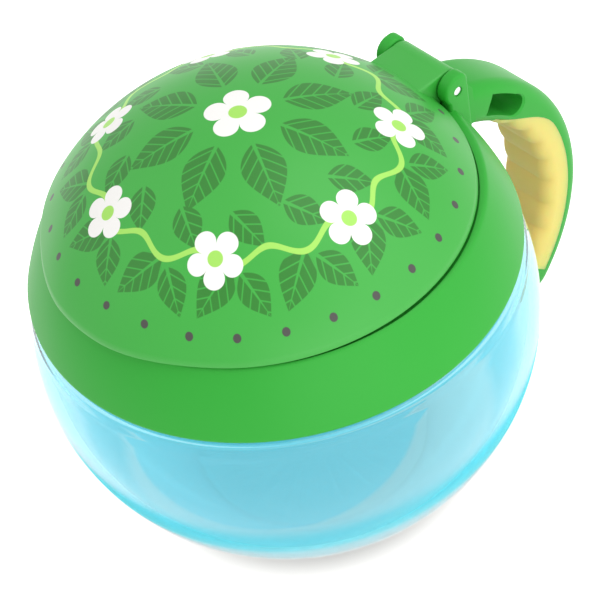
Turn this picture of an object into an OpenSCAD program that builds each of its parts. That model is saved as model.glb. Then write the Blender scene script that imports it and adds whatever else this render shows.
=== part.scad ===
// Toddler snack container: round bowl, screw-on collar with a C-shaped handle,
// soft insert with six flaps, and a domed lid on a pinned hinge.
// Millimetres. Origin: centre of the bowl's base. +Z up, thumb lip towards -Y,
// hinge and handle towards +Y.

/* [Bowl] */
// Widest diameter of the bowl
bowl_d = 94; // [88:0.5:104]
// Height of the shoulder that carries the collar
bowl_h = 53.5; // [49:0.5:60]
// Height of the widest place
belly_z = 38.9; // [35:0.1:42]
// Radius of the side curve in section
side_arc = 44.9; // [43:0.1:52]
// Wall thickness
wall = 2.2; // [1.6:0.1:3]
// Floor thickness
floor_t = 2.4; // [1.6:0.1:4]
// Height of the neck above the shoulder
neck_h = 8.9; // [7.5:0.1:11]
// Set-back of the neck from the shoulder's edge
neck_inset = 6.2; // [5.2:0.1:7.5]

/* [Thread] */
// Starts around the neck
starts = 3; // [2:1:4]
// Distance from one ridge to the next, measured upwards
pitch = 4; // [3.6:0.1:5]
// Height of a ridge at its root
ridge_h = 1.5; // [1:0.1:1.8]
// Height of a lug at its root
lug_h = 1.2; // [0.8:0.1:1.5]
// Sweep of one lug in the collar, degrees
lug_sweep = 35; // [15:1:50]
// How far a ridge or lug stands out
thread_depth = 1; // [0.6:0.1:1.3]

/* [Collar] */
// Thinnest wall of the collar, around its bore
collar_wall = 1.35; // [1:0.05:2]
// Radius of the collar's convex side in section
collar_arc = 61.4; // [45:0.1:90]
// How far the collar stands proud of the bowl
proud = 0.75; // [0.3:0.05:1.5]
// Thickness of the web around the mouth
web_t = 3; // [2:0.1:4]
// Width of the web, measured from the neck's outside
web_w = 5.9; // [5:0.1:9]
// Width of the bead around the mouth
bead_w = 1.6; // [1:0.1:2.5]
// Height of the bead around the mouth
bead_h = 1.4; // [0.8:0.1:1.6]

/* [Lid] */
// Height of the dome above the lid's lower edge
lid_h = 21; // [17:0.5:28]
// Dome wall
lid_wall = 1.8; // [1.4:0.1:2.6]
// Gap between the lid and the collar
lid_gap = 0.4; // [0.2:0.05:1]
// Forward shift of the lid
lid_shift = 1.2; // [0.4:0.1:1.8]
// Set-back of the lid's rim from the collar's top edge
rim_inset = 0.6; // [0.3:0.1:1.2]
// Height of the hollow that takes the collar's bead
skirt_h = 1.8; // [1.4:0.1:2.2]
// How far the thumb lip reaches past the rim
lip_out = 1.3; // [0.5:0.1:3]
// Thickness of the thumb lip
lip_h = 2.2; // [1.6:0.1:3]

/* [Hinge] */
// Pin diameter
pin_d = 2; // [1.5:0.1:2.6]
// Pin behind the back of the lid's rim
pin_back = 1.9; // [1.6:0.1:3]
// Pin above the lid's lower edge
pin_up = 2.7; // [2.4:0.1:3.5]
// Radius of the lid's knuckle
knuckle_r = 3.1; // [2.7:0.1:3.5]
// Half width of the lid's knuckle
knuckle_w = 6.5; // [4:0.05:8]
// Width of one ear
ear_w = 2.7; // [2.4:0.05:6]
// Radius of an ear's head
ear_r = 3.2; // [2.4:0.05:3.4]
// Rounding of an ear's outer front edge
ear_round = 0.8; // [0.5:0.1:2]

/* [Handle] */
// Centre line of the handle beyond the bowl's widest place
reach = 19.5; // [17:0.5:26]
// Height of the handle's root above the collar's lower edge
root_up = 6.4; // [6:0.1:8]
// Curve radius of the handle's centre line
handle_arc = 33.45; // [30:0.05:38]
// Sweep of the tail below the widest place, degrees
tail_sweep = 43.5; // [25:0.5:50]
// Width of the handle
handle_w = 13.2; // [10:0.1:18]
// Thickness of the handle
handle_t = 8.8; // [7.6:0.1:11]
// Edge rounding of the handle
handle_round = 2.8; // [1.5:0.1:3.2]
// Height of the strap slot
slot_h = 4.5; // [3:0.1:5]
// Pitch of the ripples on the grip
ripple_pitch = 6.6; // [5:0.1:9]
// Depth of the ripples on the grip
ripple_depth = 0.6; // [0.3:0.05:1.2]

/* [Insert] */
// Thickness of the insert's flange
flange_t = 1.3; // [1:0.1:2]
// Depth of the lip that centres the insert in the neck
locate_h = 1.6; // [1:0.1:3]
// Thickness of a flap
flap_t = 1; // [0.8:0.1:1.2]
// Width of the slits between the flaps
slit = 0.6; // [0.4:0.1:1]
// Distance from the mouth's edge in to the flaps' folds
fold_in = 5.5; // [4:0.1:9]
// Distance from the axis to a flap's tip
tip_r = 2.9; // [2:0.1:6]

/* [Hidden] */

$fn = 96;
fine = 180;             // segments of the large curves
flaps = 6;              // one node each
slack = 0.4;            // clearance between moving mouldings
seat = 0.1;             // clearance where two mouldings rest on each other
run_fit = 0.04;         // pin in the knuckle, on the radius
root = 0.5;             // how deep one form is rooted in another
big = 200;

// bowl
belly_r = bowl_d / 2;
arc_r0 = belly_r - side_arc;
function bowl_r(z) = arc_r0 + sqrt(pow(side_arc, 2) - pow(z - belly_z, 2));
shoulder_r = bowl_r(bowl_h);
neck_r = shoulder_r - neck_inset;
neck_in = neck_r - wall;
neck_top = bowl_h + neck_h;
step_r = 0.5;           // raised line below the collar
step_z = bowl_h - 3;

// thread: the ridges start just above the shoulder and end below the neck's top
lead = starts * pitch;
ridge_low = bowl_h + ridge_h;
ridge_rise = neck_h - 2 * ridge_h - 0.25;
ridge_sweep = 360 * ridge_rise / lead;
thread_gap = 0.3;
lug_drop = (ridge_h + lug_h) / 2 + thread_gap;
lug_from = 45;
tip_share = 0.55;       // height of a ridge at its tip, as a share of its root

// collar
collar_z = bowl_h + slack;
web_z = neck_top + flange_t + seat;
collar_top = web_z + web_t;
bore_r = neck_r + thread_depth + slack;
mouth_r = neck_r - web_w;
collar_lo = shoulder_r + proud;
collar_in = bore_r + collar_wall;
// the side's arc runs from the lower edge past the thinnest wall, just under the web
run = collar_lo - collar_in;
rise = web_z - collar_z;
chord = sqrt(pow(run, 2) + pow(rise, 2));
sag = sqrt(pow(collar_arc, 2) - pow(chord / 2, 2));
side_r0 = (collar_lo + collar_in) / 2 - sag * rise / chord;
side_z0 = (collar_z + web_z) / 2 - sag * run / chord;
collar_hi = side_r0 + sqrt(pow(collar_arc, 2) - pow(collar_top - side_z0, 2));
bead_out = mouth_r + lid_shift + bead_w + seat;

// lid
lid_z = collar_top + lid_gap;
rim_r = collar_hi - rim_inset;
dome_r0 = rim_r + 0.55; // the dome would reach this far at the lid's lower edge
dome_r = (pow(dome_r0, 2) + pow(lid_h, 2)) / (2 * lid_h);
dome_z = lid_z + lid_h - dome_r;
skirt_in = bead_out + 2 * slack + seat;
lip_r = rim_r - 4.8;    // flatter curve of the lip's front
lip_taper = 1.2;

// hinge
pin_y = rim_r - lid_shift + pin_back;
pin_z = lid_z + pin_up;
ear_in = knuckle_w + slack / 2;
ear_out = ear_in + ear_w;
head_y = pin_y + 0.25;
head_z = pin_z + 0.1;
ear_back = pin_y + 2.6;
ear_slope = 0.7;        // how far an ear's stem stands behind the front of its head
post_depth = 3.6;       // how far the post reaches in front of the ears' back
post_front = ear_back - post_depth;
root_y = collar_lo - root; // where the handle starts
post_z = collar_z + 3;
post_low = 1.2;         // slope under the post
post_top = pin_z - 2; // stops the knuckle
post_cut = [1.4, 1.9];  // chamfer of the post's upper back edge, along y and z
arm_in = 8;             // lid's arm reaches this far in front of the pin
arm_step = 0.1;         // arm below the top of the knuckle
pin_recess = 0.3;
ear_reach = norm([head_y - pin_y, head_z - pin_z]) + ear_r;

// handle
hub_y = belly_r + reach - handle_arc;
hub_z = collar_z + root_up - sqrt(pow(handle_arc, 2) - pow(root_y - hub_y, 2));
half_w = handle_w / 2;
half_t = handle_t / 2;
root_sweep = 76;        // ends inside the post
tail_more_angle = 9;    // beyond the tail, for its round end
tail_fit = 0.25;

// grip: angles up the handle, and the seam's distance from the centre line
grip_top_angle = 54;
grip_low_angle = 2.5 - tail_sweep;
seam_out = 1.2;
seam_in = 1 - half_t;
seam_from_angle = 22;
seam_to_angle = 52;
rib_out = ripple_depth / 2; // ripples beyond the handle's inner face
rib_r = (pow(ripple_pitch / 2, 2) + pow(ripple_depth, 2)) / (2 * ripple_depth);
rib_from_angle = 5;     // first ripple below the grip's top

// strap slot: angles up the handle
slot_from_angle = 48.4;
slot_to_angle = 61.5;

// insert
flange_r = bore_r - slack;
locate_r = neck_in - 0.3;
locate_t = 1;
fold_r = mouth_r - fold_in;
fold_z = neck_top + flange_t / 2;
fold_gap = 0.3;
half_angle = 180 / flaps;
tip_w = 1.35;           // half width of a flap's tip

// point at an angle and a distance from the handle's centre line, [y, z]
function on_arc(a, d) = [hub_y, hub_z] + (handle_arc + d) * [cos(a), sin(a)];

// soft step from 0 to 1
function ease(t) = let (u = max(0, min(1, t))) u * u * (3 - 2 * u);

// the seam between handle and grip: over the middle of the side, in above
function seam(a) = seam_out + (seam_in - seam_out)
    * ease((a - seam_from_angle) / (seam_to_angle - seam_from_angle));

// helical ridge of trapezoid section around Z: rooted at r0, out to r1
module helix(r0, r1, z0, a0, sweep, h) {
    n = ceil(sweep / 6);
    half = h / 2;
    tip = half * tip_share;
    pts = [for (i = [0 : n]) let (a = a0 + sweep * i / n, z = z0 + lead * sweep * i / n / 360)
        each [[r0 * cos(a), r0 * sin(a), z - half], [r1 * cos(a), r1 * sin(a), z - tip],
              [r1 * cos(a), r1 * sin(a), z + tip], [r0 * cos(a), r0 * sin(a), z + half]]];
    out = r1 > r0;
    side = [for (i = [0 : n - 1]) for (k = [0 : 3])
        let (p = 4 * i + k, q = 4 * i + (k + 1) % 4, s = q + 4, t = p + 4)
        each out ? [[p, q, s], [p, s, t]] : [[p, s, q], [p, t, s]]];
    e = 4 * n;
    caps = out ? [[3, 2, 1], [3, 1, 0], [e, e + 1, e + 2], [e, e + 2, e + 3]]
               : [[0, 1, 2], [0, 2, 3], [e + 3, e + 2, e + 1], [e + 3, e + 1, e]];
    polyhedron(points = pts, faces = concat(side, caps));
}

// sweeps a y-z drawing along x, centred
module along_x(w) {
    rotate([90, 0, 90]) translate([0, 0, -w / 2]) linear_extrude(w) children();
}

// section of the bowl, r against z
module bowl_section() {
    intersection() {
        translate([arc_r0, belly_z]) circle(r = side_arc);
        square([big, bowl_h]);
        difference() {
            square(big);
            intersection() {
                translate([arc_r0, belly_z]) circle(r = side_arc - wall);
                translate([0, floor_t]) square([big, bowl_h - wall - floor_t]);
            }
            translate([0, bowl_h - wall - 1]) square([neck_in, big]);
        }
    }
    translate([neck_in, bowl_h - wall]) square([wall, neck_h + wall]);
    translate([bowl_r(step_z) - step_r / 3, step_z]) circle(r = step_r);
}

module bowl() {
    color([0.48, 0.83, 0.93, 0.55]) union() {
        rotate_extrude() bowl_section();
        for (i = [0 : starts - 1])
            helix(neck_r - root, neck_r + thread_depth, ridge_low, i * 360 / starts,
                  ridge_sweep, ridge_h);
    }
}

// section of the collar, r against z
module collar_section() {
    intersection() {
        translate([side_r0, side_z0]) circle(r = collar_arc, $fn = fine);
        union() {
            translate([bore_r, collar_z]) square([big, collar_top - collar_z]);
            translate([mouth_r, web_z]) square([big, web_t]);
        }
    }
}

// side view of an ear, drawn in y and z
module ear_side() {
    stem = head_y - ear_r + ear_slope;
    translate([head_y, head_z]) circle(r = ear_r);
    translate([stem, post_z]) square([ear_back - stem, head_z - post_z]);
}

// plan of an ear on the +X side, with its outer front corner rounded
module ear_plan() {
    front = head_y - ear_r;
    translate([ear_in, front]) square([ear_w - ear_round, ear_back - front]);
    translate([ear_in, front + ear_round]) square([ear_w, ear_back - front - ear_round]);
    translate([ear_out - ear_round, front + ear_round]) circle(r = ear_round);
}

module ear() {
    intersection() {
        along_x(4 * ear_out) ear_side();
        linear_extrude(big) ear_plan();
    }
}

// foot under the hinge: fills between the ears and meets the handle
module post() {
    along_x(2 * ear_out) translate([post_front, post_z])
        square([ear_back - post_front, post_top - ear_r - post_z]);
    along_x(2 * ear_in) polygon([[post_front, post_z], [root_y, post_z + post_low],
        [root_y, post_top - post_cut[1]], [root_y - post_cut[0], post_top],
        [post_front, post_top]]);
    intersection() {
        handle_sweep(half_t, half_t);
        translate([-half_w, post_front, 0]) cube([handle_w, root_y - post_front, big]);
    }
}

module collar() {
    color([0.27, 0.72, 0.28]) difference() {
        union() {
            rotate_extrude() collar_section();
            // bead around the mouth, in line with the lid
            translate([0, -lid_shift, collar_top - root]) difference() {
                cylinder(r = bead_out, h = bead_h + root);
                translate([0, 0, -big / 2]) cylinder(r = bead_out - bead_w, h = big);
            }
            difference() {
                union() {
                    ear();
                    mirror([1, 0, 0]) ear();
                    post();
                }
                cylinder(r = bore_r + root, h = collar_top - root);
                translate([0, -lid_shift, 0]) cylinder(r = bead_out + 1, h = big);
            }
            for (i = [0 : starts - 1])
                helix(bore_r + root, bore_r - thread_depth,
                      ridge_low - lug_drop + lead * lug_from / 360,
                      i * 360 / starts + lug_from, lug_sweep, lug_h);
        }
        // room for the knuckle to turn
        along_x(2 * ear_in) {
            translate([pin_y, pin_z]) circle(r = knuckle_r + slack);
            translate([pin_y - knuckle_r - slack - 2, pin_z])
                square([2 * (knuckle_r + slack) + 2, big]);
        }
        along_x(big) translate([pin_y, pin_z]) circle(d = pin_d);
    }
}

// rounded section of the handle; d_in and d_out either side of the centre line
module handle_section(d_in, d_out) {
    for (x = [-d_in + handle_round, d_out - handle_round])
        for (y = [-half_w + handle_round, half_w - handle_round])
            translate([x, y]) circle(r = handle_round, $fn = 48);
    translate([-d_in + handle_round, -half_w]) square([d_in + d_out - 2 * handle_round, handle_w]);
    translate([-d_in, -half_w + handle_round])
        square([d_in + d_out, handle_w - 2 * handle_round]);
}

// the handle's full body, from beyond the tail up into the collar's post
module handle_sweep(d_in, d_out) {
    low = tail_sweep + tail_more_angle;
    translate([0, hub_y, hub_z]) rotate([90, 0, 90]) rotate([0, 0, -low])
        rotate_extrude(angle = root_sweep + low)
        translate([handle_arc, 0]) handle_section(d_in, d_out);
}

// what is cut off beyond the tail's round end, drawn in y and z
module tail_cut() {
    hub = [hub_y, hub_z];
    difference() {
        polygon([hub, on_arc(-tail_sweep, big), on_arc(-tail_sweep - 40, big)]);
        translate(on_arc(-tail_sweep, 0)) circle(r = half_t + tail_fit);
    }
}

// where the soft grip sits, drawn in y and z: along the handle's inside
module grip_area() {
    edge_step = 4;      // degrees between points
    inside_step = 12;
    edge = [for (a = [grip_top_angle : -edge_step : grip_low_angle + edge_step / 2])
        on_arc(a, seam(a))];
    inside = [for (a = [grip_low_angle : inside_step : grip_top_angle - inside_step / 2])
        on_arc(a, -handle_t)];
    polygon(concat(edge, [on_arc(grip_low_angle, seam_out)], inside, [on_arc(grip_top_angle, -handle_t)]));
}

// strap slot, drawn in y and z: a short bent strip with a round end
module slot_area() {
    half = slot_h / 2;
    angles = [for (i = [0 : 3]) slot_from_angle + (slot_to_angle - slot_from_angle) * i / 3];
    polygon(concat([for (a = angles) on_arc(a, -half)],
                   [for (i = [3 : -1 : 0]) on_arc(angles[i], half)]));
    translate(on_arc(slot_from_angle, 0)) circle(r = half);
}

module handle() {
    color([0.30, 0.75, 0.31]) difference() {
        handle_sweep(half_t, half_t);
        translate([-big / 2, root_y - big, 0]) cube(big);
        along_x(big) grip_area();
        along_x(big) slot_area();
        along_x(big) tail_cut();
    }
}

module handle_grip() {
    step = ripple_pitch / handle_arc * 180 / PI;
    first = grip_top_angle - rib_from_angle;
    count = floor((first - 1 - grip_low_angle) / step);
    color([0.93, 0.85, 0.55]) intersection() {
        handle_sweep(half_t + rib_out, half_t);
        along_x(big) grip_area();
        union() {
            handle_sweep(half_t - rib_out, half_t);
            for (i = [0 : count]) {
                p = on_arc(first - i * step, rib_r - half_t - rib_out);
                translate([-half_w, p[0], p[1]]) rotate([0, 90, 0])
                    cylinder(r = rib_r, h = handle_w, $fn = 48);
            }
        }
    }
}

module insert_ring() {
    hole_r = (fold_r + flap_t / 2 + fold_gap) / cos(half_angle);
    color([0.96, 0.94, 0.84]) {
        difference() {
            translate([0, 0, neck_top]) cylinder(r = flange_r, h = flange_t);
            linear_extrude(big)
                polygon([for (i = [0 : flaps - 1]) let (a = 90 + half_angle + i * 360 / flaps)
                    hole_r * [cos(a), sin(a)]]);
        }
        translate([0, 0, neck_top - locate_h]) difference() {
            cylinder(r = locate_r, h = locate_h + flange_t / 2);
            translate([0, 0, -1]) cylinder(r = locate_r - locate_t, h = big);
        }
    }
}

// one flap, drawn pointing at +Y from the axis, then turned to its place
module flap(i) {
    half = fold_r * tan(half_angle) - slit / 2 / cos(half_angle) - fold_gap;
    rotate([0, 0, (i - 1) * 360 / flaps]) {
        translate([0, 0, fold_z - flap_t / 2]) linear_extrude(flap_t)
            polygon([[half, fold_r], [tip_w, tip_r], [-tip_w, tip_r], [-half, fold_r]]);
        translate([-half, fold_r, fold_z]) rotate([0, 90, 0])
            cylinder(d = flap_t, h = 2 * half, $fn = 48);
    }
}

module flap_1() { color([0.97, 0.95, 0.86]) flap(1); }
module flap_2() { color([0.97, 0.95, 0.86]) flap(2); }
module flap_3() { color([0.97, 0.95, 0.86]) flap(3); }
module flap_4() { color([0.97, 0.95, 0.86]) flap(4); }
module flap_5() { color([0.97, 0.95, 0.86]) flap(5); }
module flap_6() { color([0.97, 0.95, 0.86]) flap(6); }

// the lid's hollow, r against z
module lid_hollow() {
    intersection() {
        translate([0, dome_z]) circle(r = dome_r - lid_wall, $fn = fine);
        translate([0, lid_z + skirt_h - 0.2]) square(big);
    }
    translate([0, lid_z - 1]) square([skirt_in, skirt_h + 1]);
}

// the lid's outside, r against z
module lid_outside() {
    intersection() {
        translate([0, dome_z]) circle(r = dome_r, $fn = fine);
        translate([0, lid_z]) square([rim_r, big]);
    }
}

// arm and knuckle, drawn in y and z
module lid_arm() {
    top = pin_z + knuckle_r - arm_step;
    translate([pin_y, pin_z]) circle(r = knuckle_r);
    polygon([[pin_y, top], [pin_y - arm_in, top], [pin_y - arm_in, lid_z + skirt_h],
             [pin_y - knuckle_r + root, lid_z + arm_step / 2], [pin_y, pin_z]]);
}

module lid() {
    color([0.34, 0.76, 0.35]) difference() {
        union() {
            translate([0, -lid_shift, 0]) rotate_extrude($fn = fine) lid_outside();
            translate([0, lip_r - rim_r - lid_shift - lip_out, lid_z])
                cylinder(r1 = lip_r, r2 = lip_r - lip_taper, h = lip_h);
            along_x(2 * knuckle_w) lid_arm();
        }
        translate([0, -lid_shift, 0]) rotate_extrude($fn = fine) lid_hollow();
        along_x(big) translate([pin_y, pin_z]) circle(r = pin_d / 2 + run_fit);
        // shallow hollows that pass the ears when the lid opens
        for (side = [-1, 1])
            translate([side * (knuckle_w + ear_w / 2 + slack / 2), 0, 0])
                along_x(ear_w + slack) translate([pin_y, pin_z]) circle(r = ear_reach + slack / 2);
    }
}

module hinge_pin() {
    color([0.78, 0.78, 0.8]) translate([pin_recess - ear_out, pin_y, pin_z]) rotate([0, 90, 0])
        cylinder(d = pin_d, h = 2 * (ear_out - pin_recess));
}

bowl();
collar();
handle();
handle_grip();
insert_ring();
flap_1();
flap_2();
flap_3();
flap_4();
flap_5();
flap_6();
lid();
hinge_pin();
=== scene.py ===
# %% [markdown]
# # A toddler's snack container, dressed around its CAD frame
#
# A see-through bowl carries a green screw-on collar with a one-hand handle. A soft insert with six
# petals lies in the mouth, and a domed lid with a printed pattern turns on a pin at the back.
#
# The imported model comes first. It fixes every size and every joint, so nothing here is fitted by
# eye: each piece takes its place from the box of the CAD node that it stands for.

# %% Load the frame
import math

import bmesh
import bpy
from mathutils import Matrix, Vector


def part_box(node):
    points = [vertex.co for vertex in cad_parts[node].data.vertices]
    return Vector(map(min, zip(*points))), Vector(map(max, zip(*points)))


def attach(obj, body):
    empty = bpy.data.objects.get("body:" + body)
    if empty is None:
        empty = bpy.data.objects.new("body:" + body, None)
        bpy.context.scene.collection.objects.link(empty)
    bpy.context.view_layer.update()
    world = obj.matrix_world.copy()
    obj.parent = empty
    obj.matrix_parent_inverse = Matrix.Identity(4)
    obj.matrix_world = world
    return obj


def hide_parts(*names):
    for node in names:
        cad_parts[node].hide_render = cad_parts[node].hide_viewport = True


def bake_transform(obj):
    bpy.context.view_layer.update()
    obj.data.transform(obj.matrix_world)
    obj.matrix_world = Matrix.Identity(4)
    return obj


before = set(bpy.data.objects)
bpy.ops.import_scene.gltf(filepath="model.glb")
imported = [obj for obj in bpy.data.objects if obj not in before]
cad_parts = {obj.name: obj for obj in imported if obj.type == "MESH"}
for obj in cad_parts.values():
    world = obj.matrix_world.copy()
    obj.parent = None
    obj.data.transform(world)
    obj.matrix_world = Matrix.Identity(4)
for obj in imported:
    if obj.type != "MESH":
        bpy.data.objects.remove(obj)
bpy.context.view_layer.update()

# %% [markdown]
# ## Sizes
#
# Blender works in metres, and a small moulding is easier to think about in millimetres. So `mm` is
# one millimetre, and sizes are written as a number times `mm`. What the CAD nodes already know is
# read from their boxes; only the finishing sizes, such as edge roundings, are new here.

# %% Sizes read from the frame
mm = 0.001
belly_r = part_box("bowl")[1].x
neck_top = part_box("bowl")[1].z
collar_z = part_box("collar")[0].z
collar_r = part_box("collar")[1].x
lid_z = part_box("lid")[0].z
lid_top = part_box("lid")[1].z
rim_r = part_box("lid")[1].x
lip_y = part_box("lid")[0].y
pin_low, pin_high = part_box("hinge_pin")
pin = (pin_low + pin_high) / 2
pin_r = (pin_high.z - pin_low.z) / 2
handle_w = 2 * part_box("handle")[1].x
handle_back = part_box("handle")[1].y
flange_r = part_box("insert_ring")[1].x
print("belly radius", round(belly_r / mm, 2), "rim radius", round(rim_r / mm, 2))

# %% Sizes that follow from them
slack = 0.4 * mm                 # clearance between two mouldings
wall = 2.2 * mm
floor_t = 2.4 * mm
side_arc = 44.9 * mm             # radius of the bowl's side in section
belly_z = 38.9 * mm
shoulder_z = collar_z - slack
side_x = belly_r - side_arc
shoulder_r = side_x + math.sqrt(side_arc ** 2 - (shoulder_z - belly_z) ** 2)
neck_r = shoulder_r - 6.2 * mm
bore_r = neck_r + 1.4 * mm
mouth_r = neck_r - 5.9 * mm
collar_top = lid_z - slack
web_z = collar_top - 3 * mm
lid_shift = 1.2 * mm             # the lid sits this far forward of the bowl's axis
bead_out = mouth_r + lid_shift + 1.7 * mm
handle_t = 8.8 * mm
handle_arc = 33.45 * mm
hub = Vector((0, handle_back - handle_t / 2 - handle_arc, collar_z - 24.915 * mm))
print("neck radius", round(neck_r / mm, 2), "mouth radius", round(mouth_r / mm, 2))

# %% [markdown]
# ## The camera
#
# The object is seen from its front right and from above, through a long lens: the far side is only
# a little smaller than the near one. The small roll keeps the object's own lean in the picture.

# %% Camera
camera_data = bpy.data.cameras.new("camera")
camera_data.sensor_width = 36
camera_data.lens = 129.04
camera_data.clip_start = 0.01
camera = bpy.data.objects.new("camera", camera_data)
camera.location = (0.233364, -0.148753, 0.325582)
camera.rotation_euler = [math.radians(turn) for turn in (43.4695, 8.1383, 48.4059)]
bpy.context.scene.collection.objects.link(camera)
bpy.context.scene.camera = camera
bpy.context.scene.view_settings.view_transform = "Standard"
print("camera", round(camera.location.length / mm), "mm from the origin")

# %% [markdown]
# ## Light, floor and background
#
# Product pictures of glossy plastic use big soft lamps on both sides, so that no hard highlight
# breaks the form. A see-through bowl also shows what is behind it. The world and the floor
# therefore look white to the camera, in reflections and through the bowl, while their share of
# the light on the object stays moderate. `Light Path` makes that difference. Near the bowl the
# floor carries painted light and shade: its glow is weaker round the foot, and in reflections
# and through the bowl it shows a blue pool of painted light inside a ring of painted shade.

# %% White world for the eye, moderate light for the object
def link(tree, source, target):
    tree.links.new(source, target)


def feed(tree, socket, value):
    """Gives a socket a number or a colour, or joins it to another node's output."""
    if isinstance(value, bpy.types.NodeSocket):
        link(tree, value, socket)
    else:
        socket.default_value = value


def new_node(tree, kind, **values):
    """A new shader node. Its inputs are given by name, with _ for a space."""
    node = tree.nodes.new(f"ShaderNode{kind}")
    for title, value in values.items():
        feed(tree, node.inputs[title.replace("_", " ")], value)
    return node


def calculator(tree):
    """A function that adds a Math node to the tree and gives its output."""
    def calc(operation, *values):
        node = new_node(tree, "Math")
        node.operation = operation
        for socket, value in zip(node.inputs, values):
            feed(tree, socket, value)
        return node.outputs[0]
    return calc


def mix_colour(tree, share, below, above):
    """below where share is 0, above where it is 1."""
    node = new_node(tree, "Mix")
    node.data_type = "RGBA"
    for place, value in ((0, share), (6, below), (7, above)):
        feed(tree, node.inputs[place], value)
    return node.outputs[2]


def soft_step(tree, value, low, high, first=0.0, last=1.0):
    """Goes smoothly from first to last while the value goes from low to high."""
    node = new_node(tree, "MapRange", Value=value, From_Min=low, From_Max=high, To_Min=first, To_Max=last)
    node.interpolation_type = "SMOOTHSTEP"
    return node.outputs[0]


def on_object(tree):
    """The place on the object."""
    return new_node(tree, "TexCoord").outputs["Object"]


def axes_of(tree):
    """The place on the object, split into X, Y and Z."""
    return new_node(tree, "SeparateXYZ", Vector=on_object(tree)).outputs


def new_material(name):
    """A material, its node tree and its main shader."""
    material = bpy.data.materials.new(name)
    material.use_nodes = True
    return material, material.node_tree, material.node_tree.nodes["Principled BSDF"]


world = bpy.data.worlds.new("studio")
bpy.context.scene.world = world
world.use_nodes = True
world_tree = world.node_tree
room = world_tree.nodes["Background"]
room.inputs["Color"].default_value = (1.0, 0.99, 0.97, 1)
room.inputs["Strength"].default_value = 0.73
white = new_node(world_tree, "Background", Color=(1, 1, 1, 1), Strength=1)
mix = new_node(world_tree, "MixShader")
calc = calculator(world_tree)
path = new_node(world_tree, "LightPath").outputs
sees_white = calc("MAXIMUM", calc("MAXIMUM", path["Is Camera Ray"], path["Is Glossy Ray"]),
                  path["Is Transmission Ray"])
link(world_tree, sees_white, mix.inputs[0])
link(world_tree, room.outputs[0], mix.inputs[1])
link(world_tree, white.outputs[0], mix.inputs[2])
link(world_tree, mix.outputs[0], world_tree.nodes["World Output"].inputs[0])
print("world made")

# %% Soft lamps
def soft_lamp(name, place, size, watts):
    """A flat lamp that faces the middle of the bowl."""
    data = bpy.data.lights.new(name, "AREA")
    data.shape = "RECTANGLE"
    data.size, data.size_y = size
    data.energy = watts
    lamp = bpy.data.objects.new(name, data)
    lamp.location = place
    away = Vector(place) - Vector((0, 0, 45 * mm))
    lamp.rotation_euler = away.to_track_quat("Z", "Y").to_euler()
    bpy.context.scene.collection.objects.link(lamp)


soft_lamp("lamp_left", (-0.28, -0.34, 0.50), (0.60, 0.60), 0.36)
soft_lamp("lamp_right", (0.50, 0.26, 0.34), (0.60, 0.60), 0.72)
soft_lamp("lamp_top", (0.16, 0.22, 0.62), (0.50, 0.50), 0.95)
soft_lamp("lamp_side", (0.44, -0.14, 0.14), (0.40, 0.30), 0.5)

# %% Floor
bpy.ops.mesh.primitive_plane_add(size=4)
floor = bpy.context.object
floor.name = "floor"
paper, paper_tree, sheet_shader = new_material("paper")
sheet_shader.inputs["Roughness"].default_value = 0.9
calc = calculator(paper_tree)
on_table = on_object(paper_tree)


def distance_from(x, y):
    """Distance on the table from an upright line."""
    away = new_node(paper_tree, "VectorMath")
    away.operation = "DISTANCE"
    link(paper_tree, on_table, away.inputs[0])
    away.inputs[1].default_value = (x, y, 0)
    return away.outputs["Value"]


def grows(distance, low, high, first, last):
    """Goes smoothly from one value to another between two distances in millimetres."""
    return soft_step(paper_tree, distance, low * mm, high * mm, first, last)


# Seen directly, the floor's glow is weaker near the foot: painted shade round the foot, on top of the
# lamps' real shadow.
from_axis, from_shade = distance_from(0, 0), distance_from(-10 * mm, -3 * mm)
foot_shade, far_glow = 0.15, 0.66           # glow seen directly: under the foot, and outside
path = new_node(paper_tree, "LightPath").outputs
seen = path["Is Camera Ray"]
direct = calc("MULTIPLY", seen, grows(from_axis, 27.5, 36, foot_shade, far_glow))
# Glow in reflections and through the bowl: white backdrop far out, a brighter pool of painted light inside
# the circle round from_shade, and a dimmer ring of painted shade beyond it.
backdrop_and_painted_light = calc("MULTIPLY", calc("MAXIMUM", path["Is Glossy Ray"], path["Is Transmission Ray"]),
            calc("ADD", grows(from_shade, 29.5, 31, 0.60, 0.49), grows(from_axis, 40, 65, 0.0, 0.2)))
# Ring of painted blue shade, 38 to 58 mm from the axis.
painted_shade_ring = calc("MULTIPLY", grows(from_axis, 38, 43, 0.0, 1.0), grows(from_axis, 50, 58, 1.0, 0.0))
under = calc("MAXIMUM", painted_shade_ring, grows(from_shade, 29.5, 31, 1.0, 0.0))
painted_blue_share = calc("MULTIPLY", under, calc("SUBTRACT", 1.0, seen))
# Painted blue light: for all but the camera's rays, the floor's colour and glow turn blue in the pool under
# the bowl and in the ring round it, standing for light that came through the bowl.
painted_blue_light = (0.20, 0.85, 0.94)
for socket, level in (("Base Color", 0.90), ("Emission Color", 1.0)):
    link(paper_tree, mix_colour(paper_tree, painted_blue_share, (level, level, level, 1),
                                (*(level * part for part in painted_blue_light), 1)), sheet_shader.inputs[socket])
link(paper_tree, calc("ADD", direct, backdrop_and_painted_light), sheet_shader.inputs["Emission Strength"])
floor.data.materials.append(paper)
print("floor made of", paper.name)

# %% [markdown]
# ## Tools for turned pieces
#
# Bowl, collar and lid are bodies of revolution. By hand they are made as on a lathe: draw half of
# the section as a chain of points, round its corners, then spin it about the axis. A chain starts
# as a plane that is merged to one point. A straight run is an extrusion, an arc is a spin of the
# point about the arc's centre, and a rounded corner is a bevel of one vertex.

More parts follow.
